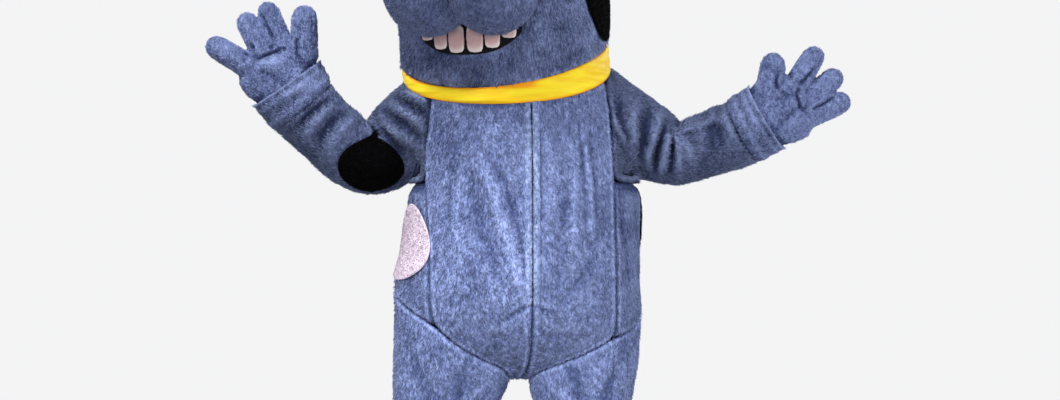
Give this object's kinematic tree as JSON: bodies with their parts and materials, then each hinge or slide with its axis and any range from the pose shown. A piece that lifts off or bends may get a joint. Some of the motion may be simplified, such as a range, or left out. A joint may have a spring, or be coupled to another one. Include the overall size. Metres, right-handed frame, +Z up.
{
  "type": "animal mascot costume",
  "caption": "Worn plush animal suit with open legs, raglan sleeves, gloves, neck band and a big hollow plush head with muzzle and teeth.",
  "frame": {"origin": "middle of the neck at the height where the suit rests on the wearer's shoulders", "axes": "+Z up, -Y to the front, +X to the wearer's left"},
  "size_m": [1.5798, 0.6846, 1.9711],
  "materials": {
    "blue_plush": "short mottled blue-grey pile",
    "black_plush": "short black pile",
    "pink_plush": "short pale pink pile",
    "yellow_satin": "yellow stretch satin",
    "dark_felt": "dark felt",
    "tooth_cloth": "smooth padded cloth",
    "eye_white": "satin white",
    "nose_black": "gloss black",
    "zip_metal": "dark nickel"
  },
  "bodies": {
    "root": {"back": "blue_plush", "cuff_left": "blue_plush", "cuff_right": "blue_plush", "ear_left": "blue_plush", "ear_right": "blue_plush", "eye_left": "eye_white", "eye_right": "eye_white", "front_left": "blue_plush", "front_right": "blue_plush", "glove_left": "blue_plush", "glove_right": "blue_plush", "head_shell": "blue_plush", "leg_left": "blue_plush", "leg_right": "blue_plush", "mouth": "dark_felt", "muzzle_left": "blue_plush", "muzzle_right": "blue_plush", "neck_band": "yellow_satin", "nose": "nose_black", "patch_elbow": "black_plush", "patch_flank": "black_plush", "patch_head": "black_plush", "patch_hip": "pink_plush", "pupil_left": "nose_black", "pupil_right": "nose_black", "side_left": "blue_plush", "side_right": "blue_plush", "sleeve_left": "blue_plush", "sleeve_right": "blue_plush", "tooth_1": "tooth_cloth", "tooth_2": "tooth_cloth", "tooth_3": "tooth_cloth", "tooth_4": "tooth_cloth", "tooth_5": "tooth_cloth", "tooth_6": "tooth_cloth", "zip_slider": "zip_metal", "zip_tape": "dark_felt", "zip_welt_left": "blue_plush", "zip_welt_right": "blue_plush"}
  },
  "joints": []
}
